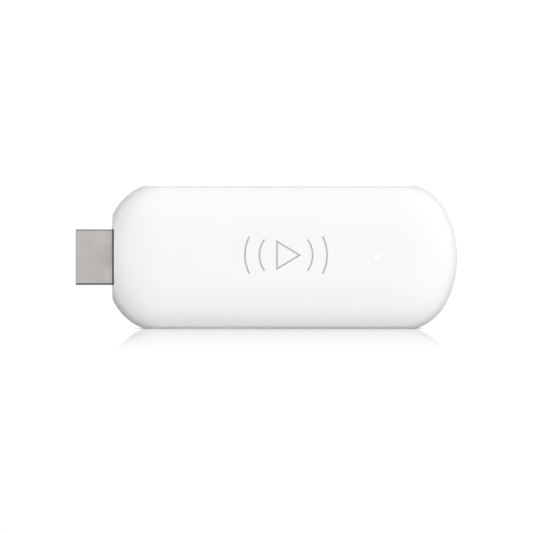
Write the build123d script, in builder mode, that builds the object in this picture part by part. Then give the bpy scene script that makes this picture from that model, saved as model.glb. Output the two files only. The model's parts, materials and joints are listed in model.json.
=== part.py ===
from build123d import *
import os
from math import atan2, degrees

# A streaming media player: an oval stick with an HDMI plug on its flat end. It stands on
# one of its long narrow sides. +X runs from the plug to the round far end, the front face
# looks towards -Y, and +Z is up. The origin is the middle of the base of the whole object.
#
# Inside the body, a place is given as (along, up, forward): along and up from the centre of
# the body's oval, and forward from the parting plane that halves its thickness.

# ---------------------------------------------------------------- driving dimensions, mm

THICKNESS = 14.0            # front face to rear face
FAR_REACH = 44.3            # oval's centre to the tip of the round far end
PLUG_FACE_REACH = 41.95     # oval's centre to the flat end that carries the plug
PLUG_LENGTH = 9.25          # how far the HDMI plug stands out of that end

OVAL_HALF_HEIGHT = 18.76    # the oval before its long sides are cut flat
CORNER_REACH = 29.4         # where the oval's corner arcs begin
CORNER_RADIUS = 13.74
SIDE_HALF_HEIGHT = 17.92    # the short pads at both ends of each long side
SIDE_RECESS = 0.25          # the long side between the pads lies this much lower
RECESS_REACH = 32.4
PAD_REACH = 33.6

CROWN_START = 5.7           # the front face is flat this far above and below its middle
CROWN_RADIUS = 41.0         # then it falls away slowly,
DOME_RADIUS = 12.0          # faster towards the edge, as the rear face does,
DOME_OVERHANG = 4.42        # as if on an oval this much larger,
END_RADIUS = 3.5            # and turns into the side wall of the oval
RIM_RADIUS = 0.5            # soft edge of the flat long sides and of the flat plug end

WALL = 1.3
SEAM = 0.1                  # visible gap between the two halves
LIP_THICKNESS = 0.65
LIP_HEIGHT = 0.9
LIP_ROOM = 0.15             # free space above the lip

PLUG_WIDTH = 13.9           # HDMI type A plug
PLUG_THICKNESS = 4.45
PLUG_NARROW_WIDTH = 10.4
PLUG_SHOULDER = -0.6        # forward, where the D shape starts to narrow
PLUG_CORNER_RADIUS = 0.5
SHEET = 0.3                 # sheet steel of both connector shells
PLUG_INNER_END = -35.0

BOARD_START = -34.0
BOARD_END = 38.0
BOARD_HALF_HEIGHT = 14.6
BOARD_THICKNESS = 1.0
SCREW_PLACES = [(-25, 10.5), (-25, -10.5), (16, 10.5), (16, -10.5)]

USB_PLACE = 24.0            # along
USB_WIDTH = 8.94            # USB type C receptacle
USB_HEIGHT = 3.26
USB_START = 9.9             # up, where the receptacle's closed back lies
USB_MOUTH = 17.2

BUTTON_PLACE = 8.0          # along
SWITCH_DEPTH = 1.4          # the switch's middle lies this far behind the parting plane

LIGHT_PLACE = 23.9          # along
LIGHT_DIAMETER = 1.2

# ---------------------------------------------------------------- worked out from them

HALF_THICKNESS = THICKNESS / 2
PLUG_TIP = -(PLUG_FACE_REACH + PLUG_LENGTH)
CENTRE_X = -(FAR_REACH + PLUG_TIP) / 2
CENTRE_Z = SIDE_HALF_HEIGHT
SIDE_WALL = SIDE_HALF_HEIGHT - SIDE_RECESS
CEILING = HALF_THICKNESS - WALL
BOARD_FRONT = BOARD_THICKNESS / 2
BOARD_REAR = -BOARD_THICKNESS / 2
CROWN_OVERHANG = CROWN_START + CROWN_RADIUS - OVAL_HALF_HEIGHT
WIDE = 120.0                # larger than the whole object
DEEP = 60.0                 # deeper than the crown's radius
CUT_MARGIN = 1.0            # openings are cut from this far outside the walls


def level(forward):
    """A plane parallel to the front face: along and up, growing towards the front."""
    return Plane(origin=(CENTRE_X, -forward, CENTRE_Z), x_dir=(1, 0, 0), z_dir=(0, -1, 0))


def station(along):
    """A plane across the stick: up and forward, growing towards the far end."""
    return Plane(origin=(CENTRE_X + along, 0, CENTRE_Z), x_dir=(0, 0, 1), z_dir=(1, 0, 0))


def shelf(along, up):
    """A plane parallel to the long sides, centred at `along` and growing upwards."""
    origin = (CENTRE_X + along, 0, CENTRE_Z + up)
    return Plane(origin=origin, x_dir=(-1, 0, 0), z_dir=(0, 0, 1))


# ---------------------------------------------------------------- profiles

def oval(grow=0.0):
    """The body's oval, grown evenly: straight sides, two corner arcs and one end arc."""
    reach = FAR_REACH - CORNER_REACH
    rise = OVAL_HALF_HEIGHT - CORNER_RADIUS
    end_radius = (reach**2 + rise**2 - CORNER_RADIUS**2) / (2 * (reach - CORNER_RADIUS))
    end_centre = FAR_REACH - end_radius
    swing = degrees(atan2(rise, CORNER_REACH - end_centre))
    top = OVAL_HALF_HEIGHT + grow
    with BuildSketch() as profile:
        with BuildLine():
            Line((0, top), (CORNER_REACH, top))
            CenterArc((CORNER_REACH, rise), CORNER_RADIUS + grow, 90, swing - 90)
            CenterArc((end_centre, 0), end_radius + grow, swing, -2 * swing)
            CenterArc((CORNER_REACH, -rise), CORNER_RADIUS + grow, -swing, swing - 90)
            Line((CORNER_REACH, -top), (0, -top))
            mirror(about=Plane.YZ)
        make_face()
    return profile.sketch


def side_window(inset=0.0):
    """What the flat plug end and the two long sides, with their end pads, leave standing."""
    low = SIDE_WALL - inset
    high = SIDE_HALF_HEIGHT - inset
    with BuildSketch() as profile:
        with BuildLine():
            Line((0, low), (RECESS_REACH, low))
            TangentArc((RECESS_REACH, low), (PAD_REACH, high), tangent=(1, 0))
            Line((PAD_REACH, high), (WIDE, high))
            Line((WIDE, high), (WIDE, 0))
            mirror(about=Plane.XZ)
            mirror(about=Plane.YZ)
        make_face()
        with Locations((inset - PLUG_FACE_REACH, 0)):
            Rectangle(WIDE, WIDE, align=(Align.MAX, Align.CENTER), mode=Mode.SUBTRACT)
    return profile.sketch


def plan(inset=0.0):
    """The body's outline seen from the front, drawn in by `inset`."""
    with BuildSketch() as profile:
        add(oval(-inset))
        add(side_window(inset), mode=Mode.INTERSECT)
    return profile.sketch


def plug_profile(grow=0.0):
    """The HDMI plug's D shape, with its wide side forward."""
    half_wide = PLUG_WIDTH / 2
    half_narrow = PLUG_NARROW_WIDTH / 2
    half_thick = PLUG_THICKNESS / 2
    with BuildSketch() as profile:
        with BuildLine():
            Polyline(
                (-half_wide, half_thick),
                (half_wide, half_thick),
                (half_wide, PLUG_SHOULDER),
                (half_narrow, -half_thick),
                (-half_narrow, -half_thick),
                (-half_wide, PLUG_SHOULDER),
                close=True,
            )
        make_face()
        fillet(profile.vertices(), PLUG_CORNER_RADIUS)
        if grow:
            offset(amount=grow)
    return profile.sketch


# ---------------------------------------------------------------- the body's form

def domed_half(inset=0.0, crowned=True):
    """One half of the body, front up, drawn in by `inset`. Its face is flat in the middle and
    rolls off towards the outline in turns of smaller and smaller radius."""
    turns = [(DOME_OVERHANG, DOME_RADIUS), (0, END_RADIUS)]
    if crowned:
        turns.insert(0, (CROWN_OVERHANG, CROWN_RADIUS))
    with BuildPart() as half:
        for turn, (overhang, radius) in enumerate(turns):
            with BuildSketch(level(HALF_THICKNESS - inset)):
                add(oval(overhang - inset))
            extrude(amount=-DEEP, mode=Mode.INTERSECT if turn else Mode.ADD)
            walls = half.faces().filter_by(lambda face: face.bounding_box().size.Y > DEEP / 2)
            brink = walls.edges().filter_by(lambda edge: edge.bounding_box().max.Y < 0)
            fillet(brink, radius - inset)
        with BuildSketch(level(0)):
            add(plan(inset))
        extrude(amount=THICKNESS, mode=Mode.INTERSECT)
    return half.part


def on_a_flat(edge):
    """Whether an edge lies on a flat long side or on the plug end, clear of the parting plane."""
    middle = edge.center()
    on_long_side = abs(middle.Z - CENTRE_Z) > SIDE_WALL - 0.01
    on_plug_end = middle.X < CENTRE_X - PLUG_FACE_REACH + 0.01
    return middle.Y < -1 and (on_long_side or on_plug_end)


def outer_half(crowned):
    """A domed half with the edges of its flats softened."""
    form = domed_half(crowned=crowned)
    with BuildPart() as half:
        add(form)
        fillet(half.edges().filter_by(Axis.Y, reverse=True).filter_by(on_a_flat), RIM_RADIUS)
    return half.part


outer_front = outer_half(crowned=True)
outer_rear = mirror(outer_half(crowned=False), about=Plane.XZ)
hollow_front = domed_half(WALL)
hollow_rear = mirror(domed_half(WALL, crowned=False), about=Plane.XZ)

# ---------------------------------------------------------------- openings in the shells

POCKET_DEPTH = 0.5          # shallow pocket in the flat end for the flange of the plug's collar
POCKET_WIDTH = 14.1
COLLAR_NECK = 0.8           # the collar's wall around the plug, where it passes the shells
COLLAR_CLEARANCE = 0.05

with BuildPart() as plug_opening:
    with BuildSketch(station(-PLUG_FACE_REACH - CUT_MARGIN)):
        add(plug_profile(COLLAR_NECK + COLLAR_CLEARANCE))
    extrude(amount=WALL + 2 * CUT_MARGIN)
    with BuildSketch(station(-PLUG_FACE_REACH - CUT_MARGIN)):
        Rectangle(POCKET_WIDTH, THICKNESS)
    extrude(amount=CUT_MARGIN + POCKET_DEPTH)

USB_CLEARANCE = 0.05
BUTTON_LENGTH = 5.0
BUTTON_WIDTH = 2.2
BUTTON_CLEARANCE = 0.15

with BuildPart() as side_openings:
    with BuildSketch(shelf(USB_PLACE, SIDE_WALL - WALL - CUT_MARGIN)):
        SlotOverall(USB_WIDTH + 2 * USB_CLEARANCE, USB_HEIGHT + 2 * USB_CLEARANCE)
    extrude(amount=WALL + 2 * CUT_MARGIN)
    with BuildSketch(shelf(BUTTON_PLACE, SIDE_WALL - WALL - CUT_MARGIN)):
        SlotOverall(BUTTON_LENGTH + 2 * BUTTON_CLEARANCE, BUTTON_WIDTH + 2 * BUTTON_CLEARANCE)
    extrude(amount=WALL + 2 * CUT_MARGIN)

# Vent slots through the rear half of both long sides, over the power supply and processor.
VENT_COUNT = 12
VENT_PITCH = 1.8
VENT_LENGTH = 2.2
VENT_WIDTH = 0.9
VENT_MIDDLE = -16.0
VENT_DEPTH = 2.4            # behind the parting plane

with BuildPart() as vents:
    with BuildSketch(shelf(VENT_MIDDLE, -SIDE_WALL - CUT_MARGIN)):
        with Locations((0, -VENT_DEPTH)):
            with GridLocations(VENT_PITCH, 0, VENT_COUNT, 1):
                SlotOverall(VENT_LENGTH, VENT_WIDTH, rotation=90)
    extrude(amount=2 * (SIDE_WALL + CUT_MARGIN))

# ---------------------------------------------------------------- shells

RIB_START = -36.5           # ribs in both shells stop the plug's collar from moving inwards
RIB_THICKNESS = 1.2
RIB_HALF_HEIGHT = 8.0
RIB_CLEARANCE = 0.1
BOSS_RADIUS = 1.8
BOSS_HOLE_RADIUS = 0.72

with BuildPart() as front_hollow:
    add(hollow_front)
    with BuildSketch(level(PLUG_THICKNESS / 2 + RIB_CLEARANCE)):
        with Locations((RIB_START, 0)):
            Rectangle(RIB_THICKNESS, 2 * RIB_HALF_HEIGHT, align=(Align.MIN, Align.CENTER))
    extrude(amount=HALF_THICKNESS, mode=Mode.SUBTRACT)

with BuildPart() as rear_hollow:
    add(hollow_rear)
    with BuildSketch(level(-HALF_THICKNESS)):
        with Locations((RIB_START, 0)):
            Rectangle(RIB_THICKNESS, 2 * RIB_HALF_HEIGHT, align=(Align.MIN, Align.CENTER))
    extrude(amount=HALF_THICKNESS - PLUG_THICKNESS / 2 - RIB_CLEARANCE, mode=Mode.SUBTRACT)
    with BuildSketch(level(-HALF_THICKNESS)):
        with Locations(*SCREW_PLACES):
            Circle(BOSS_RADIUS)
    extrude(amount=HALF_THICKNESS + BOARD_REAR, mode=Mode.SUBTRACT)

with BuildPart() as front_shell:
    add(outer_front)
    add(front_hollow.part, mode=Mode.SUBTRACT)
    with BuildSketch(level(0)):
        Rectangle(WIDE, WIDE)
    extrude(amount=SEAM / 2, mode=Mode.SUBTRACT)
    with BuildSketch(level(0)):
        add(plan(WALL - LIP_THICKNESS))
    extrude(amount=LIP_HEIGHT + LIP_ROOM, mode=Mode.SUBTRACT)
    add(plug_opening.part, mode=Mode.SUBTRACT)
    add(side_openings.part, mode=Mode.SUBTRACT)
    with BuildSketch(level(0)):
        with Locations((LIGHT_PLACE, 0)):
            Circle(LIGHT_DIAMETER / 2)
    extrude(amount=THICKNESS, mode=Mode.SUBTRACT)

LABEL_LENGTH = 40.0
LABEL_HEIGHT = 17.0
LABEL_MIDDLE = -2.0
LABEL_RECESS = 0.15
LABEL_CORNER = 1.5
LIP_GAP_DEPTH = 6.0
LIP_GAPS = [
    (-PLUG_FACE_REACH, 0, LIP_GAP_DEPTH, 2 * RIB_HALF_HEIGHT),
    (USB_PLACE, SIDE_WALL, USB_WIDTH + 1.5, LIP_GAP_DEPTH),
    (BUTTON_PLACE, SIDE_WALL, BUTTON_LENGTH + 2.5, LIP_GAP_DEPTH),
]

with BuildPart() as lip:
    with BuildSketch(level(-SEAM / 2)):
        add(plan(WALL - LIP_THICKNESS))
        add(plan(WALL), mode=Mode.SUBTRACT)
        for along, up, length, height in LIP_GAPS:
            with Locations((along, up)):
                Rectangle(length, height, mode=Mode.SUBTRACT)
    extrude(amount=SEAM / 2 + LIP_HEIGHT)

with BuildPart() as rear_shell:
    add(outer_rear)
    add(rear_hollow.part, mode=Mode.SUBTRACT)
    with BuildSketch(level(0)):
        Rectangle(WIDE, WIDE)
    extrude(amount=-SEAM / 2, mode=Mode.SUBTRACT)
    add(lip.part)
    add(plug_opening.part, mode=Mode.SUBTRACT)
    add(side_openings.part, mode=Mode.SUBTRACT)
    add(vents.part, mode=Mode.SUBTRACT)
    with BuildSketch(level(-CEILING)):
        with Locations(*SCREW_PLACES):
            Circle(BOSS_HOLE_RADIUS)
    extrude(amount=CEILING, mode=Mode.SUBTRACT)
    with BuildSketch(level(-HALF_THICKNESS)):
        with Locations((LABEL_MIDDLE, 0)):
            RectangleRounded(LABEL_LENGTH, LABEL_HEIGHT, LABEL_CORNER)
    extrude(amount=LABEL_RECESS, mode=Mode.SUBTRACT)

LABEL_GAP = 0.15
LABEL_THICKNESS = 0.1

with BuildPart() as rating_label:
    with BuildSketch(level(LABEL_RECESS - HALF_THICKNESS)):
        with Locations((LABEL_MIDDLE, 0)):
            label_outline = RectangleRounded(LABEL_LENGTH, LABEL_HEIGHT, LABEL_CORNER)
            offset(label_outline, amount=-LABEL_GAP, mode=Mode.REPLACE)
    extrude(amount=-LABEL_THICKNESS)

# ---------------------------------------------------------------- HDMI plug

INSULATOR_FACE = PLUG_TIP + 0.6
INSULATOR_NECK = 2.85
SLOT_WIDTH = 11.0
SLOT_OPENING = 1.2
SLOT_DEPTH = 8.0
CONTACT_WIDTH = 0.45
CONTACT_THICKNESS = 0.15
CONTACT_PITCH = 1.0
CONTACT_START = PLUG_TIP + 1.2
CONTACT_END = -31.5
FRONT_CONTACT_COUNT = 10
REAR_CONTACT_COUNT = 9
LEG_LENGTH = 3.0
LEG_HEIGHT = 1.4

with BuildPart() as hdmi_plug_shell:
    with BuildSketch(station(PLUG_TIP)):
        add(plug_profile())
    extrude(amount=PLUG_INNER_END - PLUG_TIP)
    mouth = hdmi_plug_shell.faces().sort_by(Axis.X)[0]
    fillet(mouth.edges(), SHEET / 2)
    with BuildSketch(station(PLUG_TIP)):
        add(plug_profile(-SHEET))
    extrude(amount=PLUG_INNER_END - PLUG_TIP, mode=Mode.SUBTRACT)
    # two solder legs carry the shell on the board
    with BuildSketch(level(BOARD_FRONT)):
        with GridLocations(0, PLUG_WIDTH - SHEET, 1, 2):
            with Locations((PLUG_INNER_END, 0)):
                Rectangle(LEG_LENGTH, SHEET, align=(Align.MIN, Align.CENTER))
    extrude(amount=LEG_HEIGHT)


def contact_row(count, forward):
    """A row of flat spring contacts that run from the plug's mouth onto the board."""
    with BuildPart() as row:
        with BuildSketch(level(forward)):
            with GridLocations(0, CONTACT_PITCH, 1, count):
                with Locations((CONTACT_START, 0)):
                    length = CONTACT_END - CONTACT_START
                    Rectangle(length, CONTACT_WIDTH, align=(Align.MIN, Align.CENTER))
        extrude(amount=CONTACT_THICKNESS)
    return row.part


with BuildPart() as hdmi_front_contacts:
    add(contact_row(FRONT_CONTACT_COUNT, BOARD_FRONT))

with BuildPart() as hdmi_rear_contacts:
    add(contact_row(REAR_CONTACT_COUNT, BOARD_REAR - CONTACT_THICKNESS))

with BuildPart() as hdmi_plug_insulator:
    with BuildSketch(station(INSULATOR_FACE)):
        add(plug_profile(-SHEET))
    extrude(amount=PLUG_INNER_END - INSULATOR_FACE)
    with BuildSketch(station(PLUG_INNER_END)):
        Rectangle(SLOT_WIDTH, INSULATOR_NECK)
    extrude(amount=BOARD_START - PLUG_INNER_END)
    with BuildSketch(station(INSULATOR_FACE)):
        Rectangle(SLOT_WIDTH, SLOT_OPENING)
    extrude(amount=SLOT_DEPTH, mode=Mode.SUBTRACT)
    add(hdmi_front_contacts.part, mode=Mode.SUBTRACT)
    add(hdmi_rear_contacts.part, mode=Mode.SUBTRACT)

# The collar's flange fills the pocket in the flat end, its neck passes the shells, and its
# block is held between the end wall and the ribs.
FLANGE_WIDTH = 14.0
FLANGE_HEIGHT = 9.2
FLANGE_PROUD = 0.45
POCKET_FLOOR = POCKET_DEPTH - PLUG_FACE_REACH
BLOCK_START = WALL - PLUG_FACE_REACH + 0.2
BLOCK_WIDTH = 16.4
BLOCK_HEIGHT = 7.0
BLOCK_CORNER = 1.2

with BuildPart() as plug_collar:
    with BuildSketch(station(POCKET_FLOOR)):
        Rectangle(FLANGE_WIDTH, FLANGE_HEIGHT)
    extrude(amount=-FLANGE_PROUD)
    with BuildSketch(station(POCKET_FLOOR)):
        add(plug_profile(COLLAR_NECK))
    extrude(amount=BLOCK_START - POCKET_FLOOR)
    with BuildSketch(station(BLOCK_START)):
        RectangleRounded(BLOCK_WIDTH, BLOCK_HEIGHT, BLOCK_CORNER)
    extrude(amount=RIB_START - BLOCK_START)
    with BuildSketch(station(POCKET_FLOOR - FLANGE_PROUD)):
        add(plug_profile())
    extrude(amount=RIB_START + PLUG_FACE_REACH, mode=Mode.SUBTRACT)

# ---------------------------------------------------------------- main board

BOARD_FAR_CORNER = 8.0
BOARD_NEAR_CORNER = 2.0
BOARD_HOLE_RADIUS = 0.9

with BuildPart() as main_board:
    with BuildSketch(level(BOARD_REAR)) as board_outline:
        with Locations((BOARD_START, 0)):
            Rectangle(
                BOARD_END - BOARD_START,
                2 * BOARD_HALF_HEIGHT,
                align=(Align.MIN, Align.CENTER),
            )
        fillet(board_outline.vertices().group_by(Axis.X)[-1], BOARD_FAR_CORNER)
        fillet(board_outline.vertices().group_by(Axis.X)[0], BOARD_NEAR_CORNER)
        with Locations((USB_PLACE, USB_START)):
            Rectangle(USB_WIDTH, BOARD_HALF_HEIGHT, align=(Align.CENTER, Align.MIN), mode=Mode.SUBTRACT)
        with Locations(*SCREW_PLACES):
            Circle(BOARD_HOLE_RADIUS, mode=Mode.SUBTRACT)
    extrude(amount=BOARD_THICKNESS)


def chips(places, length, height, thickness, forward, corner=0.0):
    """Flat packages standing on the board: forward of it, or behind it if thickness < 0."""
    with BuildPart() as group:
        with BuildSketch(level(forward)):
            with Locations(*places):
                if corner:
                    RectangleRounded(length, height, corner)
                else:
                    Rectangle(length, height)
        extrude(amount=thickness)
    return group.part


PROCESSOR_PLACE = (-12.5, 0)
PROCESSOR_SIZE = 13.0
PROCESSOR_CAP_SIZE = 11.6
PROCESSOR_BASE_THICKNESS = 0.5
MEMORY_PLACES = [(-0.75, 0), (7.3, 0)]
MEMORY_LENGTH = 7.5
FLASH_LENGTH = 11.5
CHIP_HEIGHT = 13.0
CHIP_THICKNESS = 1.0
CHIP_CORNER = 0.2
POWER_CHIP_SIZE = 5.0
INDUCTOR_PLACES = [(-14, -4), (-20, -4), (-20, 3)]
INDUCTOR_SIZE = 4.0
INDUCTOR_THICKNESS = 2.0
INDUCTOR_CORNER = 0.6
CRYSTAL_SIZE = (2.5, 1.6)
CRYSTAL_THICKNESS = 0.6

with BuildPart() as processor:
    base = PROCESSOR_SIZE
    cap = PROCESSOR_CAP_SIZE
    add(chips([PROCESSOR_PLACE], base, base, PROCESSOR_BASE_THICKNESS, BOARD_FRONT))
    add(chips([PROCESSOR_PLACE], cap, cap, CHIP_THICKNESS, BOARD_FRONT, CHIP_CORNER))

with BuildPart() as memory_chips:
    add(chips(MEMORY_PLACES, MEMORY_LENGTH, CHIP_HEIGHT, CHIP_THICKNESS, BOARD_FRONT, CHIP_CORNER))

with BuildPart() as flash_chip:
    add(chips([(0, 0)], FLASH_LENGTH, CHIP_HEIGHT, -CHIP_THICKNESS, BOARD_REAR, CHIP_CORNER))

with BuildPart() as power_chip:
    size = POWER_CHIP_SIZE
    add(chips([(-14, 5)], size, size, -CHIP_THICKNESS, BOARD_REAR, CHIP_CORNER))

with BuildPart() as power_inductors:
    size = INDUCTOR_SIZE
    add(chips(INDUCTOR_PLACES, size, size, -INDUCTOR_THICKNESS, BOARD_REAR, INDUCTOR_CORNER))

with BuildPart() as clock_crystal:
    add(chips([(-2, -8)], *CRYSTAL_SIZE, CRYSTAL_THICKNESS, BOARD_FRONT, CHIP_CORNER))

CAPACITOR_SIZE = (1.6, 0.8)
CAPACITOR_THICKNESS = 0.8
RESISTOR_SIZE = (1.0, 0.5)
RESISTOR_THICKNESS = 0.35

with BuildPart() as board_capacitors:
    with BuildSketch(level(BOARD_REAR)):
        with Locations((-12.5, 0)):
            with GridLocations(2.4, 1.4, 4, 2):
                Rectangle(*CAPACITOR_SIZE)
        with Locations((-26, 0)):
            with GridLocations(2.4, 1.6, 2, 6):
                Rectangle(*CAPACITOR_SIZE)
    extrude(amount=-CAPACITOR_THICKNESS)
    with BuildSketch(level(BOARD_FRONT)):
        with Locations((-12.5, 8), (-12.5, -8)):
            with GridLocations(2.4, 1, 5, 1):
                Rectangle(*CAPACITOR_SIZE)
    extrude(amount=CAPACITOR_THICKNESS)

with BuildPart() as board_resistors:
    with BuildSketch(level(BOARD_FRONT)):
        with Locations((-29, 0)):
            with GridLocations(1.6, 1.2, 2, 8):
                Rectangle(*RESISTOR_SIZE)
        with Locations((20, 0)):
            with GridLocations(1.6, 1.2, 2, 5):
                Rectangle(*RESISTOR_SIZE)
    extrude(amount=RESISTOR_THICKNESS)
    with BuildSketch(level(BOARD_REAR)):
        with Locations((12, -9)):
            with GridLocations(1.6, 1.2, 3, 4):
                Rectangle(*RESISTOR_SIZE)
    extrude(amount=-RESISTOR_THICKNESS)

# ---------------------------------------------------------------- shield and heat path

SHIELD_START = -20.5
SHIELD_END = 11.5
SHIELD_HALF_HEIGHT = 9.5
SHIELD_TOP = 2.2
SHIELD_WALL = 0.2
LID_SHEET = 0.15
LID_SKIRT = 1.0
SHIELD_LENGTH = SHIELD_END - SHIELD_START
SHIELD_MIDDLE = (SHIELD_START + SHIELD_END) / 2

with BuildPart() as shield_frame:
    with BuildSketch(level(BOARD_FRONT)):
        with Locations((SHIELD_MIDDLE, 0)):
            Rectangle(SHIELD_LENGTH, 2 * SHIELD_HALF_HEIGHT)
            Rectangle(
                SHIELD_LENGTH - 2 * SHIELD_WALL,
                2 * (SHIELD_HALF_HEIGHT - SHIELD_WALL),
                mode=Mode.SUBTRACT,
            )
    extrude(amount=SHIELD_TOP - BOARD_FRONT)

with BuildPart() as shield_lid:
    with BuildSketch(level(SHIELD_TOP - LID_SKIRT)):
        with Locations((SHIELD_MIDDLE, 0)):
            Rectangle(SHIELD_LENGTH + 2 * LID_SHEET, 2 * (SHIELD_HALF_HEIGHT + LID_SHEET))
    extrude(amount=LID_SKIRT + LID_SHEET)
    with BuildSketch(level(SHIELD_TOP - LID_SKIRT)):
        with Locations((SHIELD_MIDDLE, 0)):
            Rectangle(SHIELD_LENGTH, 2 * SHIELD_HALF_HEIGHT)
    extrude(amount=LID_SKIRT, mode=Mode.SUBTRACT)

PAD_TOP = 2.9
SINK_TOP = 3.9
FIN_TOP = 4.9
SINK_START = -27.5
SINK_END = 18.5
SINK_HALF_HEIGHT = 13.0
FIN_COUNT = 8
FIN_PITCH = 2.2
FIN_THICKNESS = 0.9
POST_RADIUS = 2.4
SCREW_SEAT = 1.5
SCREW_TIP = -5.4
SCREW_HEAD_RADIUS = 1.4
COUNTERBORE_RADIUS = 1.6
SCREW_HEAD_HEIGHT = 0.8
SCREW_CROSS = (1.8, 0.35)
SCREW_CROSS_DEPTH = 0.4
CHIP_TOP = BOARD_FRONT + CHIP_THICKNESS
CHIP_PAD_HEIGHT = 11.0
MEMORY_PAD_LENGTH = 6.0
SHIELD_PAD_LENGTH = 28.0
SHIELD_PAD_HEIGHT = 16.0

with BuildPart() as chip_thermal_pads:
    thickness = SHIELD_TOP - CHIP_TOP
    add(chips([PROCESSOR_PLACE], CHIP_PAD_HEIGHT, CHIP_PAD_HEIGHT, thickness, CHIP_TOP))
    add(chips(MEMORY_PLACES, MEMORY_PAD_LENGTH, CHIP_PAD_HEIGHT, thickness, CHIP_TOP))

with BuildPart() as shield_thermal_pad:
    lid_top = SHIELD_TOP + LID_SHEET
    thickness = PAD_TOP - lid_top
    add(chips([(SHIELD_MIDDLE, 0)], SHIELD_PAD_LENGTH, SHIELD_PAD_HEIGHT, thickness, lid_top))

with BuildPart() as heat_sink:
    with BuildSketch(level(PAD_TOP)) as sink_outline:
        with Locations((SINK_START, 0)):
            Rectangle(
                SINK_END - SINK_START,
                2 * SINK_HALF_HEIGHT,
                align=(Align.MIN, Align.CENTER),
            )
        fillet(sink_outline.vertices(), POST_RADIUS)
    extrude(amount=SINK_TOP - PAD_TOP)
    with BuildSketch(level(SINK_TOP)):
        with Locations((SHIELD_MIDDLE, 0)):
            with GridLocations(0, FIN_PITCH, 1, FIN_COUNT):
                Rectangle(SHIELD_LENGTH, FIN_THICKNESS)
    extrude(amount=FIN_TOP - SINK_TOP)
    with BuildSketch(level(BOARD_FRONT)):
        with Locations(*SCREW_PLACES):
            Circle(POST_RADIUS)
    extrude(amount=PAD_TOP - BOARD_FRONT)
    with BuildSketch(level(SCREW_SEAT)):
        with Locations(*SCREW_PLACES):
            Circle(COUNTERBORE_RADIUS)
    extrude(amount=SINK_TOP - SCREW_SEAT, mode=Mode.SUBTRACT)
    with BuildSketch(level(BOARD_FRONT)):
        with Locations(*SCREW_PLACES):
            Circle(BOARD_HOLE_RADIUS)
    extrude(amount=SCREW_SEAT, mode=Mode.SUBTRACT)

with BuildPart() as board_screws:
    with BuildSketch(level(SCREW_TIP)):
        with Locations(*SCREW_PLACES):
            Circle(BOSS_HOLE_RADIUS - 0.02)
    extrude(amount=SCREW_SEAT - SCREW_TIP)
    with BuildSketch(level(SCREW_SEAT)):
        with Locations(*SCREW_PLACES):
            Circle(SCREW_HEAD_RADIUS)
    extrude(amount=SCREW_HEAD_HEIGHT)
    with BuildSketch(level(SCREW_SEAT + SCREW_HEAD_HEIGHT)):
        with Locations(*SCREW_PLACES):
            Rectangle(*SCREW_CROSS)
            Rectangle(*SCREW_CROSS, rotation=90)
    extrude(amount=-SCREW_CROSS_DEPTH, mode=Mode.SUBTRACT)

# Two strips of foam fill the space up to the front shell, on both sides of the fins.
CUSHION_LENGTH = 28.0
CUSHION_WIDTH = 1.4
CUSHION_PITCH = 20.0

with BuildPart() as cushion_pads:
    with BuildSketch(level(SINK_TOP)):
        with Locations((SHIELD_MIDDLE, 0)):
            with GridLocations(0, CUSHION_PITCH, 1, 2):
                Rectangle(CUSHION_LENGTH, CUSHION_WIDTH)
    extrude(amount=CEILING - SINK_TOP)
    add(hollow_front, mode=Mode.INTERSECT)

GRAPHITE_LENGTH = 44.0
GRAPHITE_HEIGHT = 16.0
GRAPHITE_THICKNESS = 0.1
GRAPHITE_CORNER = 1.0

with BuildPart() as graphite_sheet:
    with BuildSketch(level(-CEILING)):
        with Locations((LABEL_MIDDLE, 0)):
            RectangleRounded(GRAPHITE_LENGTH, GRAPHITE_HEIGHT, GRAPHITE_CORNER)
    extrude(amount=GRAPHITE_THICKNESS)

# ---------------------------------------------------------------- radio

WIFI_PLACE = (26, -6)
WIFI_BOARD_SIZE = 12.0
WIFI_BOARD_THICKNESS = 0.8
WIFI_BOARD_REAR = BOARD_REAR - WIFI_BOARD_THICKNESS
WIFI_CAN_SIZE = 10.6
WIFI_CAN_HEIGHT = 1.7
WIFI_CAN_SHEET = 0.2
WIFI_CAN_CORNER = 0.5

with BuildPart() as wifi_module_board:
    size = WIFI_BOARD_SIZE
    add(chips([WIFI_PLACE], size, size, -WIFI_BOARD_THICKNESS, BOARD_REAR))

with BuildPart() as wifi_module_can:
    size = WIFI_CAN_SIZE
    add(chips([WIFI_PLACE], size, size, -WIFI_CAN_HEIGHT, WIFI_BOARD_REAR, WIFI_CAN_CORNER))
    with BuildSketch(level(WIFI_BOARD_REAR)):
        with Locations(WIFI_PLACE):
            Rectangle(size - 2 * WIFI_CAN_SHEET, size - 2 * WIFI_CAN_SHEET)
    extrude(amount=WIFI_CAN_SHEET - WIFI_CAN_HEIGHT, mode=Mode.SUBTRACT)

ANTENNA_START = 30.0
ANTENNA_END = 36.5
ANTENNA_LOW = 3.0
ANTENNA_HIGH = 12.0
ANTENNA_TOP = 3.9
ANTENNA_SLOT_PLACE = 34.0
ANTENNA_SLOT_LENGTH = 6.0
ANTENNA_SLOT_WIDTH = 0.8
FEED_PIN_WIDTH = 1.0
FEED_PIN_LOW = 6.0


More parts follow.
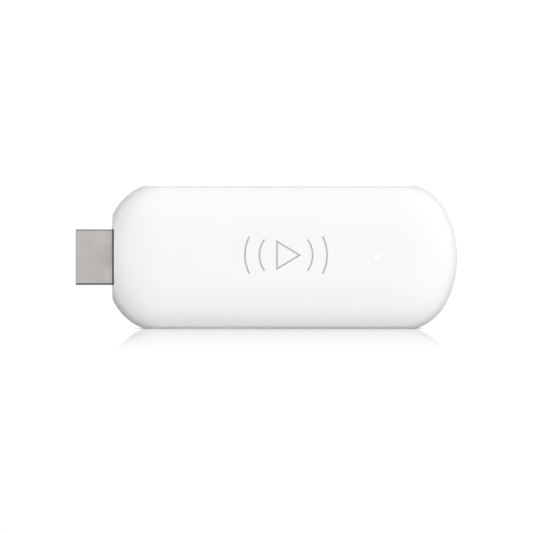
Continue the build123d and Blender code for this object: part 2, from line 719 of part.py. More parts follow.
def antenna():
    """A bent sheet antenna: a slotted plate above the board on a short wall and a feed pin."""
    with BuildPart() as bent:
        with BuildSketch(level(ANTENNA_TOP - SHEET)):
            with Locations((ANTENNA_START, ANTENNA_LOW)):
                Rectangle(
                    ANTENNA_END - ANTENNA_START,
                    ANTENNA_HIGH - ANTENNA_LOW,
                    align=(Align.MIN, Align.MIN),
                )
            with Locations((ANTENNA_SLOT_PLACE, (ANTENNA_LOW + ANTENNA_HIGH) / 2)):
                Rectangle(ANTENNA_SLOT_WIDTH, ANTENNA_SLOT_LENGTH, mode=Mode.SUBTRACT)
        extrude(amount=SHEET)
        with BuildSketch(level(BOARD_FRONT)):
            with Locations((ANTENNA_START, ANTENNA_LOW)):
                Rectangle(ANTENNA_END - ANTENNA_START, SHEET, align=(Align.MIN, Align.MIN))
            with Locations((ANTENNA_START, FEED_PIN_LOW)):
                Rectangle(SHEET, FEED_PIN_WIDTH, align=(Align.MIN, Align.MIN))
        extrude(amount=ANTENNA_TOP - SHEET - BOARD_FRONT)
    return bent.part


with BuildPart() as upper_antenna:
    add(antenna())

with BuildPart() as lower_antenna:
    add(mirror(antenna(), about=Plane.XY.offset(CENTRE_Z)))

# ---------------------------------------------------------------- status light

LED_BASE = (1.6, 0.8)
LED_LENS = (1.1, 0.8)
LED_BASE_TOP = BOARD_FRONT + 0.3
LED_TOP = BOARD_FRONT + 0.6
PIPE_START = LED_TOP + 0.1
FLANGE_DIAMETER = 3.0
FLANGE_THICKNESS = 0.6

with BuildPart() as status_led:
    add(chips([(LIGHT_PLACE, 0)], *LED_BASE, LED_BASE_TOP - BOARD_FRONT, BOARD_FRONT))
    add(chips([(LIGHT_PLACE, 0)], *LED_LENS, LED_TOP - BOARD_FRONT, BOARD_FRONT))

with BuildPart() as light_pipe:
    with BuildSketch(level(PIPE_START)):
        with Locations((LIGHT_PLACE, 0)):
            Circle(LIGHT_DIAMETER / 2)
    extrude(amount=HALF_THICKNESS - PIPE_START)
    with BuildSketch(level(CEILING)):
        with Locations((LIGHT_PLACE, 0)):
            Circle(FLANGE_DIAMETER / 2)
    extrude(amount=-FLANGE_THICKNESS)

# ---------------------------------------------------------------- USB type C receptacle

USB_CORNER_INSET = 2 * SHEET
TONGUE_WIDTH = 6.69
TONGUE_THICKNESS = 0.7
TONGUE_BASE = USB_START + 2.3
TONGUE_TIP = USB_MOUTH - 0.65
TONGUE_TIP_RADIUS = 0.15
USB_CONTACT_COUNT = 12
USB_CONTACT_PITCH = 0.5
USB_CONTACT_WIDTH = 0.25
USB_CONTACT_THICKNESS = 0.05
USB_CONTACT_TIP = TONGUE_TIP - 0.4
USB_TAB = (1.2, 0.9)
USB_TAB_HEIGHTS = (USB_START + 1.2, USB_START + 3.6)
USB_TAB_REACH = USB_WIDTH / 2 - 0.2

with BuildPart() as usb_receptacle_shell:
    with BuildSketch(shelf(USB_PLACE, USB_START)):
        SlotOverall(USB_WIDTH, USB_HEIGHT)
    extrude(amount=USB_MOUTH - USB_START)
    with BuildSketch(shelf(USB_PLACE, USB_START + SHEET)):
        SlotOverall(USB_WIDTH - USB_CORNER_INSET, USB_HEIGHT - USB_CORNER_INSET)
    extrude(amount=USB_MOUTH - USB_START, mode=Mode.SUBTRACT)
    # four solder tabs rest on the board beside its cut-out
    with BuildSketch(level(BOARD_FRONT)):
        for up in USB_TAB_HEIGHTS:
            with Locations((USB_PLACE - USB_TAB_REACH, up)):
                Rectangle(*USB_TAB, align=(Align.MAX, Align.CENTER))
            with Locations((USB_PLACE + USB_TAB_REACH, up)):
                Rectangle(*USB_TAB, align=(Align.MIN, Align.CENTER))
    extrude(amount=SHEET)

with BuildPart() as usb_tongue:
    with BuildSketch(shelf(USB_PLACE, USB_START + SHEET)):
        SlotOverall(USB_WIDTH - USB_CORNER_INSET, USB_HEIGHT - USB_CORNER_INSET)
    extrude(amount=TONGUE_BASE - USB_START - SHEET)
    with BuildSketch(shelf(USB_PLACE, TONGUE_BASE)):
        Rectangle(TONGUE_WIDTH, TONGUE_THICKNESS)
    extrude(amount=TONGUE_TIP - TONGUE_BASE)
    tip = usb_tongue.faces().sort_by(Axis.Z)[-1]
    fillet(tip.edges().filter_by(Axis.X), TONGUE_TIP_RADIUS)

with BuildPart() as usb_contacts:
    with BuildSketch(shelf(USB_PLACE, TONGUE_BASE)):
        row_gap = TONGUE_THICKNESS + USB_CONTACT_THICKNESS
        with GridLocations(USB_CONTACT_PITCH, row_gap, USB_CONTACT_COUNT, 2):
            Rectangle(USB_CONTACT_WIDTH, USB_CONTACT_THICKNESS)
    extrude(amount=USB_CONTACT_TIP - TONGUE_BASE)

# ---------------------------------------------------------------- pairing button

BUTTON_FACE = SIDE_WALL - 0.05
BUTTON_EDGE_RADIUS = 0.2
BUTTON_FLANGE = (6.6, 3.6)
BUTTON_FLANGE_CORNER = 0.5
BUTTON_FLANGE_START = 15.7
BUTTON_FLANGE_THICKNESS = 0.6
BUTTON_STEM = (1.6, 0.8)
PLUNGER_TIP = 14.3          # where the button's stem meets the switch's plunger

with BuildPart() as pairing_button:
    with BuildSketch(shelf(BUTTON_PLACE, BUTTON_FLANGE_START)):
        SlotOverall(BUTTON_LENGTH, BUTTON_WIDTH)
    extrude(amount=BUTTON_FACE - BUTTON_FLANGE_START)
    fillet(pairing_button.faces().sort_by(Axis.Z)[-1].edges(), BUTTON_EDGE_RADIUS)
    with BuildSketch(shelf(BUTTON_PLACE, BUTTON_FLANGE_START)):
        RectangleRounded(*BUTTON_FLANGE, BUTTON_FLANGE_CORNER)
    extrude(amount=BUTTON_FLANGE_THICKNESS)
    with BuildSketch(shelf(BUTTON_PLACE, PLUNGER_TIP)):
        with Locations((0, -SWITCH_DEPTH)):
            Rectangle(*BUTTON_STEM)
    extrude(amount=BUTTON_FLANGE_START - PLUNGER_TIP)

# Side-pressed switch on the rear of the board: a body with an open end, a sprung dome in
# its pocket, a plunger on the dome and a sheet cover that keeps the plunger in.
SWITCH_LENGTH = 4.7
SWITCH_HEIGHT = 1.65
SWITCH_MIDDLE = BOARD_REAR - SWITCH_HEIGHT / 2
SWITCH_START = 9.7
SWITCH_END = 13.2
SWITCH_POCKET = (3.2, 1.1)
SWITCH_POCKET_START = 12.0
DOME_HALF_LENGTH = 1.4
DOME_WIDTH = 0.9
DOME_HEIGHT = 0.35
COVER_SHEET = 0.15
COVER_WINDOW = (2.2, 0.9)
COVER_SKIRT = 1.5
PLUNGER_START = SWITCH_POCKET_START + DOME_HEIGHT
PLUNGER_STEM = (1.9, 0.6)
PLUNGER_FOOT = (2.8, 0.6)
PLUNGER_FOOT_THICKNESS = 0.5

with BuildPart() as switch_body:
    with BuildSketch(shelf(BUTTON_PLACE, SWITCH_START)):
        with Locations((0, SWITCH_MIDDLE)):
            Rectangle(SWITCH_LENGTH, SWITCH_HEIGHT)
    extrude(amount=SWITCH_END - SWITCH_START)
    with BuildSketch(shelf(BUTTON_PLACE, SWITCH_POCKET_START)):
        with Locations((0, -SWITCH_DEPTH)):
            Rectangle(*SWITCH_POCKET)
    extrude(amount=SWITCH_END - SWITCH_POCKET_START, mode=Mode.SUBTRACT)

with BuildPart() as switch_cover:
    with BuildSketch(shelf(BUTTON_PLACE, SWITCH_END)):
        with Locations((0, SWITCH_MIDDLE)):
            Rectangle(SWITCH_LENGTH, SWITCH_HEIGHT)
        with Locations((0, -SWITCH_DEPTH)):
            Rectangle(*COVER_WINDOW, mode=Mode.SUBTRACT)
    extrude(amount=COVER_SHEET)
    with BuildSketch(shelf(BUTTON_PLACE, SWITCH_END - COVER_SKIRT)):
        with Locations((0, BOARD_REAR - SWITCH_HEIGHT - COVER_SHEET / 2)):
            Rectangle(SWITCH_LENGTH, COVER_SHEET)
    extrude(amount=COVER_SKIRT + COVER_SHEET)

with BuildPart() as switch_dome:
    with BuildSketch(level(-SWITCH_DEPTH - DOME_WIDTH / 2)):
        with BuildLine():
            near_foot = (BUTTON_PLACE - DOME_HALF_LENGTH, SWITCH_POCKET_START)
            crown = (BUTTON_PLACE, PLUNGER_START)
            far_foot = (BUTTON_PLACE + DOME_HALF_LENGTH, SWITCH_POCKET_START)
            ThreePointArc(near_foot, crown, far_foot)
            Line(far_foot, near_foot)
        make_face()
    extrude(amount=DOME_WIDTH)

with BuildPart() as switch_plunger:
    with BuildSketch(shelf(BUTTON_PLACE, PLUNGER_START)):
        with Locations((0, -SWITCH_DEPTH)):
            Rectangle(*PLUNGER_STEM)
    extrude(amount=PLUNGER_TIP - PLUNGER_START)
    with BuildSketch(shelf(BUTTON_PLACE, PLUNGER_START)):
        with Locations((0, -SWITCH_DEPTH)):
            Rectangle(*PLUNGER_FOOT)
    extrude(amount=PLUNGER_FOOT_THICKNESS)

# ---------------------------------------------------------------- write the pieces

pieces = {
    "front_shell": front_shell,
    "rear_shell": rear_shell,
    "rating_label": rating_label,
    "light_pipe": light_pipe,
    "status_led": status_led,
    "hdmi_plug_shell": hdmi_plug_shell,
    "hdmi_plug_insulator": hdmi_plug_insulator,
    "hdmi_front_contacts": hdmi_front_contacts,
    "hdmi_rear_contacts": hdmi_rear_contacts,
    "plug_collar": plug_collar,
    "main_board": main_board,
    "processor": processor,
    "memory_chips": memory_chips,
    "flash_chip": flash_chip,
    "power_chip": power_chip,
    "power_inductors": power_inductors,
    "clock_crystal": clock_crystal,
    "board_capacitors": board_capacitors,
    "board_resistors": board_resistors,
    "shield_frame": shield_frame,
    "shield_lid": shield_lid,
    "chip_thermal_pads": chip_thermal_pads,
    "shield_thermal_pad": shield_thermal_pad,
    "heat_sink": heat_sink,
    "board_screws": board_screws,
    "cushion_pads": cushion_pads,
    "graphite_sheet": graphite_sheet,
    "wifi_module_board": wifi_module_board,
    "wifi_module_can": wifi_module_can,
    "upper_antenna": upper_antenna,
    "lower_antenna": lower_antenna,
    "usb_receptacle_shell": usb_receptacle_shell,
    "usb_tongue": usb_tongue,
    "usb_contacts": usb_contacts,
    "pairing_button": pairing_button,
    "switch_body": switch_body,
    "switch_cover": switch_cover,
    "switch_dome": switch_dome,
    "switch_plunger": switch_plunger,
}

os.makedirs("parts", exist_ok=True)
for name, piece in pieces.items():
    piece.part.label = name
    export_step(piece.part, f"parts/{name}.step")
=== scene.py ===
import json
import math

import bmesh
import bpy
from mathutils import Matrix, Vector


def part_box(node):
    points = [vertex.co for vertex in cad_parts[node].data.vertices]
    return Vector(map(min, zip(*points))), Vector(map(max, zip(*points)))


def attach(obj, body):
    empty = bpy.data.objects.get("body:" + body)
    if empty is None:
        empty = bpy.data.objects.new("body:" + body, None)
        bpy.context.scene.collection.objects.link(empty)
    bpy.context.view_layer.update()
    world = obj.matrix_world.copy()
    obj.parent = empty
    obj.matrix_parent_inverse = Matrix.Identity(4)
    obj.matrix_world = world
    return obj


# The looks of a streaming media player. It stands on one long side, its face towards -Y.

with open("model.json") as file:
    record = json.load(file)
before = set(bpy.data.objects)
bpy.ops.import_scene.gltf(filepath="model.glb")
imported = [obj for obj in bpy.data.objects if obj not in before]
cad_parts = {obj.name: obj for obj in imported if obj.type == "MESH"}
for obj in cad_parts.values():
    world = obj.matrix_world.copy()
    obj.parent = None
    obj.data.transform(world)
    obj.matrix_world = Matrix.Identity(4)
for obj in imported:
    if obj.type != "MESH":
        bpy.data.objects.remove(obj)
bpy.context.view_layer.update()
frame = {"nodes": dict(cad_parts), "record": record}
nodes = frame["nodes"]

MM = 0.001
shell_low, shell_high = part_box("front_shell")
face_y = shell_low.y
centre_z = (shell_low.z + shell_high.z) / 2
far_end_x = shell_high.x
plug_tip_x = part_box("hdmi_plug_shell")[0].x
light_low, light_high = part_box("light_pipe")
light_x = (light_low.x + light_high.x) / 2


# ---------------------------------------------------------------- camera

VIEW_DISTANCE = 0.6
VIEW_WIDTH = 0.13323         # the frame's width at that distance
SENSOR_WIDTH = 36
CLIP_RANGE = (0.01, 20)
AIM = Vector((0, -0.003, 0.01558))   # in the middle of the frame, just behind the face's rim

camera_data = bpy.data.cameras.new("camera")
camera = bpy.data.objects.new("camera", camera_data)
bpy.context.scene.collection.objects.link(camera)
camera_data.sensor_width = SENSOR_WIDTH
camera_data.lens = SENSOR_WIDTH * VIEW_DISTANCE / VIEW_WIDTH
camera_data.clip_start, camera_data.clip_end = CLIP_RANGE
camera.location = (AIM.x, AIM.y - VIEW_DISTANCE, centre_z)
camera.rotation_euler = (math.radians(90), 0, 0)
camera_data.shift_y = (AIM.z - centre_z) / VIEW_WIDTH
bpy.context.scene.camera = camera
bpy.context.scene.view_settings.view_transform = "Standard"


# ---------------------------------------------------------------- node helpers

def add_node(tree, kind, inputs=None, **settings):
    """Adds a shader node. `inputs` maps socket names or numbers to a value or to an output."""
    made = tree.nodes.new(kind)
    for name, value in settings.items():
        setattr(made, name, value)
    for name, value in (inputs or {}).items():
        if isinstance(value, bpy.types.NodeSocket):
            tree.links.new(value, made.inputs[name])
        else:
            made.inputs[name].default_value = value
    return made


def ramp(tree, source, stops, interpolation="LINEAR"):
    """A ramp of colours over a value: stops are (position, grey level or colour)."""
    made = add_node(tree, "ShaderNodeValToRGB", {"Fac": source})
    made.color_ramp.interpolation = interpolation
    elements = made.color_ramp.elements
    while len(elements) < len(stops):
        elements.new(0.5)
    for element, (position, level) in zip(elements, stops):
        element.position = position
        element.color = (*level, 1) if isinstance(level, tuple) else (level, level, level, 1)
    return made.outputs["Color"]


def math_node(tree, operation, first, second=0.0):
    return add_node(tree, "ShaderNodeMath", {0: first, 1: second}, operation=operation).outputs[0]


def map_range(tree, value, source, target):
    """Maps a value linearly from one range to another, and keeps it inside the second."""
    inputs = {
        "Value": value,
        "From Min": source[0],
        "From Max": source[1],
        "To Min": target[0],
        "To Max": target[1],
    }
    return add_node(tree, "ShaderNodeMapRange", inputs).outputs["Result"]


def object_places(tree, stretch=(1, 1, 1)):
    """Object coordinates, scaled: the only coordinates that the textures use."""
    places = add_node(tree, "ShaderNodeTexCoord").outputs["Object"]
    return add_node(tree, "ShaderNodeMapping", {"Vector": places, "Scale": stretch}).outputs[0]


def noise(tree, size, detail=2.0, stretch=(1, 1, 1), roughness=0.5):
    """Noise whose blotches are about `size` metres across."""
    inputs = {
        "Vector": object_places(tree, stretch),
        "Scale": 1 / size,
        "Detail": detail,
        "Roughness": roughness,
    }
    return add_node(tree, "ShaderNodeTexNoise", inputs).outputs["Fac"]


def bump(tree, height, depth, distance, normal=None):
    """Turns a height value into a bump `distance` metres deep, at strength `depth`."""
    inputs = {"Height": height, "Strength": depth, "Distance": distance}
    if normal:
        inputs["Normal"] = normal
    return add_node(tree, "ShaderNodeBump", inputs).outputs["Normal"]


def material(name, roughness, metallic=0.0, **sockets):
    """A principled material: returns it with its node tree and its shader."""
    made = bpy.data.materials.new(name)
    made.use_nodes = True
    tree = made.node_tree
    shader = tree.nodes["Principled BSDF"]
    shader.inputs["Roughness"].default_value = roughness
    shader.inputs["Metallic"].default_value = metallic
    for socket, value in sockets.items():
        shader.inputs[socket.replace("_", " ")].default_value = value
    return made, tree, shader


def new_object(name, shape):
    mesh = bpy.data.meshes.new(name)
    shape.to_mesh(mesh)
    shape.free()
    made = bpy.data.objects.new(name, mesh)
    bpy.context.scene.collection.objects.link(made)
    return made


# ---------------------------------------------------------------- light

KEY_DIRECTION = Vector((0.28, -0.602, 0.21))   # from the object towards the soft key light
KEY_STRENGTH = 2.42
KEY_ANGLE = 100              # degrees: a wide, soft light
WHITE = 1.05                 # just over white, so that the backdrop renders pure white

key_data = bpy.data.lights.new("key_light", "SUN")
key_data.energy = KEY_STRENGTH
key_data.angle = math.radians(KEY_ANGLE)
key = bpy.data.objects.new("key_light", key_data)
bpy.context.scene.collection.objects.link(key)
key.rotation_euler = KEY_DIRECTION.to_track_quat("Z", "Y").to_euler()

WORLD_LEVELS = (0.47, 0.2, 1.0)   # in front of the object, beside and above it, behind it
BELOW_SHARE = 0.65           # the part of those levels that is left below the horizon
HORIZON_TOP = 0.1            # sine of the elevation up to which the world is white
HORIZON_FADE = 0.025

world = bpy.data.worlds.new("studio")
bpy.context.scene.world = world
world.use_nodes = True
tree = world.node_tree
direction = add_node(tree, "ShaderNodeTexCoord").outputs["Generated"]
split = add_node(tree, "ShaderNodeSeparateXYZ", {0: direction})
toward_back = map_range(tree, split.outputs["Y"], (-1, 1), (0, 1))
around = ramp(tree, toward_back, list(zip((0.0, 0.5, 1.0), WORLD_LEVELS)), "EASE")
above = map_range(tree, split.outputs["Z"], (-HORIZON_TOP, HORIZON_TOP), (BELOW_SHARE, 1))
dim = math_node(tree, "MULTIPLY", around, above)
off_horizon = math_node(tree, "ABSOLUTE", split.outputs["Z"])
band = map_range(tree, off_horizon, (HORIZON_TOP - HORIZON_FADE, HORIZON_TOP), (WHITE, 0))
level = math_node(tree, "MAXIMUM", dim, band)
tree.links.new(level, tree.nodes["Background"].inputs["Color"])


# ---------------------------------------------------------------- white studio

DOME_RADIUS = 3.0
FLOOR_SIZE = 2.0
FLOOR_WHITE = 1.01
MIRROR_SHARE = 0.38          # of the floor's light, close to the object
MIRROR_FADE = (0.045, 0.145)     # distances from the object over which the mirror fades away
MIRROR_ROUGHNESS = 0.02
GRAZING = (0.88, 0.96)       # the mirror shows only where the floor is seen at a low angle
CONTACT_REACH = 0.0015
CONTACT_LIGHT = [(0.0, 0.05), (0.5, 0.9), (0.8, 1.0)]   # light left, by how open the floor is


def only_for_camera(stage_object):
    stage_object.visible_diffuse = False
    stage_object.visible_glossy = False
    stage_object.visible_transmission = False
    stage_object.visible_shadow = False


dome_shape = bmesh.new()
bmesh.ops.create_icosphere(dome_shape, subdivisions=4, radius=DOME_RADIUS)
dome = new_object("backdrop", dome_shape)
white = bpy.data.materials.new("white_backdrop")
white.use_nodes = True
tree = white.node_tree
tree.nodes.clear()
glow = add_node(tree, "ShaderNodeEmission", {"Strength": WHITE})
add_node(tree, "ShaderNodeOutputMaterial", {"Surface": glow.outputs[0]})
dome.data.materials.append(white)
only_for_camera(dome)

# The floor is white gloss: it glows, darkens where the object touches it, and mirrors the
# object at a low angle, less and less with the distance from it.
floor_shape = bmesh.new()
bmesh.ops.create_grid(floor_shape, x_segments=1, y_segments=1, size=FLOOR_SIZE)
floor = new_object("floor", floor_shape)
floor_paint = bpy.data.materials.new("floor_paint")
floor_paint.use_nodes = True
tree = floor_paint.node_tree
tree.nodes.clear()
shade = add_node(tree, "ShaderNodeAmbientOcclusion", {"Distance": CONTACT_REACH}, samples=16)
light_left = ramp(tree, shade.outputs["AO"], CONTACT_LIGHT)
glow = add_node(tree, "ShaderNodeEmission", {"Color": light_left, "Strength": FLOOR_WHITE})
mirror_inputs = {"Roughness": MIRROR_ROUGHNESS, "Color": (1, 1, 1, 1)}
mirror = add_node(tree, "ShaderNodeBsdfGlossy", mirror_inputs)
places = add_node(tree, "ShaderNodeTexCoord").outputs["Object"]
split = add_node(tree, "ShaderNodeSeparateXYZ", {0: places})
footprint = (("X", (far_end_x - plug_tip_x) / 2), ("Y", -face_y))
beyond = [
    math_node(tree, "SUBTRACT", math_node(tree, "ABSOLUTE", split.outputs[axis]), half_size)
    for axis, half_size in footprint
]
distance = math_node(tree, "MAXIMUM", *beyond)
near = map_range(tree, distance, MIRROR_FADE, (MIRROR_SHARE, 0))
facing = add_node(tree, "ShaderNodeLayerWeight", {"Blend": 0.5}).outputs["Facing"]
low_angle = map_range(tree, facing, GRAZING, (0, 1))
share = math_node(tree, "MULTIPLY", near, low_angle)
blend = add_node(tree, "ShaderNodeMixShader", {0: share, 1: glow.outputs[0], 2: mirror.outputs[0]})
add_node(tree, "ShaderNodeOutputMaterial", {"Surface": blend.outputs[0]})
floor.data.materials.append(floor_paint)
only_for_camera(floor)


# ---------------------------------------------------------------- plastics

RIM_SOFTNESS = 1.2 * MM
SEAM_ZONE = (2 * MM, 3 * MM)     # depths from the parting plane where the rims start to be soft
SIDE_ZONE = (13 * MM, 15 * MM)   # heights from the middle where the long sides' rims begin


def soft_rims(tree):
    """Normals that round the rims of the two long sides, and leave the seam crisp."""
    rounded = add_node(tree, "ShaderNodeBevel", {"Radius": RIM_SOFTNESS}, samples=8).outputs[0]
    plain = add_node(tree, "ShaderNodeNewGeometry").outputs["Normal"]
    places = add_node(tree, "ShaderNodeTexCoord").outputs["Object"]
    split = add_node(tree, "ShaderNodeSeparateXYZ", {0: places})
    depth = math_node(tree, "ABSOLUTE", split.outputs["Y"])
    off_seam = map_range(tree, depth, SEAM_ZONE, (0, 1))
    height = math_node(tree, "ABSOLUTE", math_node(tree, "SUBTRACT", split.outputs["Z"], centre_z))
    near_side = map_range(tree, height, SIDE_ZONE, (0, 1))
    factor = math_node(tree, "MULTIPLY", off_seam, near_side)
    mixed = add_node(tree, "ShaderNodeMix", {0: factor, 4: plain, 5: rounded}, data_type="VECTOR")
    return mixed.outputs[1]


def casing():
    """White satin ABS: a fine moulded grain and a barely uneven gloss."""
    made, tree, shader = material("casing", 0.42)
    whites = [(0.3, (0.845, 0.85, 0.855)), (0.7, (0.87, 0.87, 0.865))]
    tint = ramp(tree, noise(tree, 0.03), whites)
    tree.links.new(tint, shader.inputs["Base Color"])
    gloss = ramp(tree, noise(tree, 0.012, detail=4), [(0.3, 0.38), (0.7, 0.46)])
    tree.links.new(gloss, shader.inputs["Roughness"])
    grain = noise(tree, 0.00025, detail=3)
    surface = bump(tree, grain, 0.06, 0.00002, soft_rims(tree))
    tree.links.new(surface, shader.inputs["Normal"])
    return made


def moulded(name, dark, light, roughness, grain_size=0.0003, depth=0.25):
    """Plain moulded plastic or rubber: two close shades and a grain."""
    made, tree, shader = material(name, roughness)
    tint = ramp(tree, noise(tree, 12 * grain_size, detail=4), [(0.3, dark), (0.7, light)])
    tree.links.new(tint, shader.inputs["Base Color"])
    grain = noise(tree, grain_size, detail=3)
    tree.links.new(bump(tree, grain, depth, 0.00003), shader.inputs["Normal"])
    gloss = ramp(tree, grain, [(0.3, max(roughness - 0.06, 0)), (0.7, min(roughness + 0.06, 1))])
    tree.links.new(gloss, shader.inputs["Roughness"])
    return made


def light_pipe():
    """Milky acrylic that glows softly."""
    sockets = {"Emission_Strength": 0.5, "Emission_Color": (1, 1, 1, 1), "IOR": 1.49}
    made, tree, shader = material("light_pipe", 0.2, Subsurface_Weight=0.3, **sockets)
    cloud = noise(tree, 0.0004, detail=3)
    tint = ramp(tree, cloud, [(0.3, (0.88, 0.9, 0.92)), (0.7, (0.97, 0.98, 1.0))])
    tree.links.new(tint, shader.inputs["Base Color"])
    return made


def label():
    """Blank silver-grey foil label with a faint brushed grain."""
    made, tree, shader = material("label", 0.45, metallic=0.2)
    lines = noise(tree, 0.0006, detail=3, stretch=(0.04, 1, 1))
    tint = ramp(tree, lines, [(0.3, (0.6, 0.61, 0.62)), (0.7, (0.7, 0.71, 0.72))])
    tree.links.new(tint, shader.inputs["Base Color"])
    tree.links.new(bump(tree, lines, 0.1, 0.00002), shader.inputs["Normal"])
    return made


# ---------------------------------------------------------------- metals

def metal(name, dark, light, roughness, grain=0.0004, stretch=(0.05, 1, 1), depth=0.12):
    """Sheet metal with a rolled or brushed grain along one direction."""
    made, tree, shader = material(name, roughness, metallic=1.0)
    lines = noise(tree, grain, detail=4, stretch=stretch)
    tint = ramp(tree, lines, [(0.3, dark), (0.7, light)])
    tree.links.new(tint, shader.inputs["Base Color"])
    smears = noise(tree, 12 * grain, detail=4)
    gloss = ramp(tree, smears, [(0.3, roughness - 0.05), (0.7, roughness + 0.05)])
    tree.links.new(gloss, shader.inputs["Roughness"])
    tree.links.new(bump(tree, lines, depth, 0.00001), shader.inputs["Normal"])
    return made


# ---------------------------------------------------------------- electronics

def board():
    """Green solder mask over copper: tracks run as slightly raised, lighter lines."""
    made, tree, shader = material("board", 0.35)
    places = object_places(tree, (900, 1, 900))
    tracks = add_node(
        tree, "ShaderNodeTexBrick", {"Vector": places, "Scale": 1.0, "Mortar Size": 0.14}
    )
    height = math_node(tree, "SUBTRACT", 1.0, tracks.outputs["Fac"])
    weave = noise(tree, 0.0005, detail=3)
    both = math_node(tree, "ADD", height, weave)
    shade = math_node(tree, "MULTIPLY", both, 0.5)
    tint = ramp(tree, shade, [(0.0, (0.012, 0.09, 0.035)), (1.0, (0.03, 0.18, 0.07))])
    tree.links.new(tint, shader.inputs["Base Color"])
    tree.links.new(bump(tree, both, 0.3, 0.00003), shader.inputs["Normal"])
    return made


def component(name, body, ends, size, roughness=0.35):
    """Ceramic or film parts: fine speckle between the body's colour and its ends'."""
    made, tree, shader = material(name, roughness)
    tint = ramp(tree, noise(tree, size, detail=4), [(0.35, body), (0.75, ends)])
    tree.links.new(tint, shader.inputs["Base Color"])
    tree.links.new(bump(tree, noise(tree, size / 3), 0.2, 0.00002), shader.inputs["Normal"])
    return made


PLASTIC_BLACK = (0.012, 0.012, 0.013)
PLASTIC_GREY = (0.03, 0.03, 0.032)
SILVER_DARK = (0.45, 0.44, 0.42)
SILVER_LIGHT = (0.62, 0.61, 0.59)

finishes = {
    "casing": casing(),
    "button": moulded("button", (0.82, 0.82, 0.82), (0.87, 0.87, 0.87), 0.4, depth=0.15),
    "light_pipe": light_pipe(),
    "led": component("led", (0.85, 0.8, 0.5), (0.9, 0.9, 0.8), 0.0004),
    "label": label(),
    "connector_steel": metal("connector_steel", (0.296, 0.285, 0.276), (0.313, 0.301, 0.292), 0.36),
    "connector_plastic": moulded("connector_plastic", PLASTIC_BLACK, PLASTIC_GREY, 0.5),
    "contacts": metal("contacts", (0.75, 0.52, 0.2), (0.9, 0.68, 0.3), 0.25),
    "board": board(),
    "chips": moulded("chips", PLASTIC_BLACK, PLASTIC_GREY, 0.55, 0.00015),
    "inductors": moulded("inductors", (0.05, 0.05, 0.05), (0.11, 0.1, 0.1), 0.6, 0.0002, 0.5),
    "capacitors": component("capacitors", (0.42, 0.3, 0.18), (0.6, 0.48, 0.34), 0.0005),
    "resistors": component("resistors", (0.02, 0.02, 0.025), (0.5, 0.5, 0.5), 0.0006),
    "shield_tin": metal("shield_tin", (0.6, 0.6, 0.58), (0.75, 0.75, 0.72), 0.3),
    "antenna": metal("antenna", (0.7, 0.62, 0.45), (0.82, 0.74, 0.58), 0.28),
    "thermal_pads": moulded("thermal_pads", (0.24, 0.4, 0.5), (0.32, 0.5, 0.6), 0.8, 0.0004, 0.6),
    "heat_sink": metal("heat_sink", (0.62, 0.63, 0.65), (0.75, 0.76, 0.78), 0.35),
    "screws": metal("screws", SILVER_DARK, SILVER_LIGHT, 0.3, stretch=(1, 1, 1)),
    "foam": moulded("foam", (0.03, 0.03, 0.03), (0.09, 0.09, 0.09), 0.95, 0.0005, 1.0),
    "graphite": metal("graphite", (0.1, 0.1, 0.11), (0.18, 0.18, 0.19), 0.5, stretch=(1, 1, 1)),
    "switch_plastic": moulded("switch_plastic", (0.05, 0.05, 0.055), (0.1, 0.1, 0.105), 0.5),
}

slot_of = {row["node"]: row["material_slot"] for row in frame["record"]["subparts"]}

for name, piece in nodes.items():
    piece.data.materials.clear()
    piece.data.materials.append(finishes[slot_of[name]])


# ---------------------------------------------------------------- printed mark

MARK_TO_LIGHT = 22.5 * MM
MARK_RISE = 0.5 * MM             # above the middle of the casing
MARK_X = light_x - MARK_TO_LIGHT
MARK_Z = centre_z + MARK_RISE
LINE_WIDTH = 0.42 * MM
INK_THICKNESS = 0.012 * MM
TRIANGLE_HALF_HEIGHT = 3.4 * MM
TRIANGLE_BACK = -2.24 * MM
TRIANGLE_TIP = 3.36 * MM
WAVE_RADII = (6.6 * MM, 10.2 * MM)
WAVE_HALF_ANGLES = (36, 27)
WAVE_STEPS = 24
MITRE_LIMIT = 0.4                # keeps sharp corners of a line from growing long points


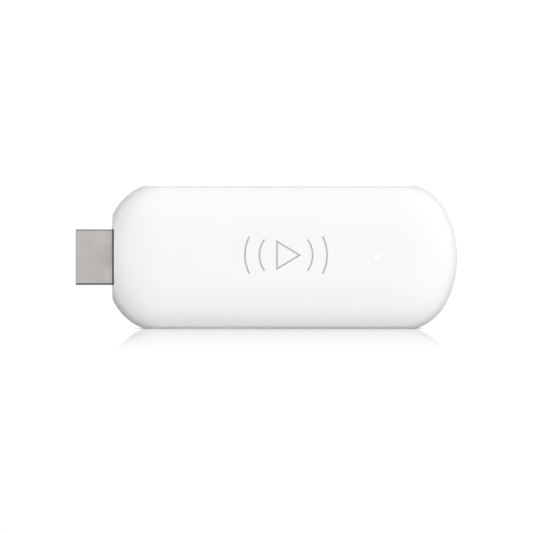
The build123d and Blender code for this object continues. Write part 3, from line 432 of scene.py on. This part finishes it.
def ink_ribbon(shape, points, closed=False):
    """A thin printed line of even width along points given as (right, up) from the middle."""
    count = len(points)
    edges = []
    for index, point in enumerate(points):
        before = points[index - 1] if closed or index else point
        after = points[(index + 1) % count] if closed or index < count - 1 else point
        incoming = (point - before if point != before else after - point).normalized()
        outgoing = (after - point).normalized() if after != point else incoming
        side = Vector((-(incoming.y + outgoing.y), incoming.x + outgoing.x)).normalized()
        mitre = max(side.dot(Vector((-outgoing.y, outgoing.x))), MITRE_LIMIT)
        half = LINE_WIDTH / 2 / mitre
        edges.append([
            [
                shape.verts.new((MARK_X + spot.x, face_y - lift, MARK_Z + spot.y))
                for spot in (point + side * half, point - side * half)
            ]
            for lift in (INK_THICKNESS, 0.0)
        ])
    last = count if closed else count - 1
    for index in range(last):
        (a, b), (c, d) = edges[index]
        (e, f), (g, h) = edges[(index + 1) % count]
        for corners in ((a, e, f, b), (c, d, h, g), (a, c, g, e), (b, f, h, d)):
            shape.faces.new(corners)
    if not closed:
        for (a, b), (c, d) in (edges[0], edges[-1]):
            shape.faces.new((a, b, d, c))


def arc(radius, half_angle, facing):
    """Points of an arc about the mark's middle, bulging to the right (1) or to the left (-1)."""
    points = []
    for step in range(WAVE_STEPS + 1):
        angle = math.radians(half_angle * (2 * step / WAVE_STEPS - 1))
        points.append(Vector((facing * radius * math.cos(angle), radius * math.sin(angle))))
    return points


mark_shape = bmesh.new()
triangle = [
    Vector((TRIANGLE_BACK, -TRIANGLE_HALF_HEIGHT)),
    Vector((TRIANGLE_TIP, 0)),
    Vector((TRIANGLE_BACK, TRIANGLE_HALF_HEIGHT)),
]
ink_ribbon(mark_shape, triangle, closed=True)
for facing in (1, -1):
    for radius, half_angle in zip(WAVE_RADII, WAVE_HALF_ANGLES):
        ink_ribbon(mark_shape, arc(radius, half_angle, facing))
bmesh.ops.recalc_face_normals(mark_shape, faces=mark_shape.faces)
mark = new_object("printed_mark", mark_shape)
ink, tree, shader = material("ink", 0.5)
greys = [(0.3, (0.4, 0.405, 0.41)), (0.7, (0.44, 0.445, 0.45))]
tint = ramp(tree, noise(tree, 0.0006, detail=3), greys)
tree.links.new(tint, shader.inputs["Base Color"])
mark.data.materials.append(ink)
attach(mark, "stick")
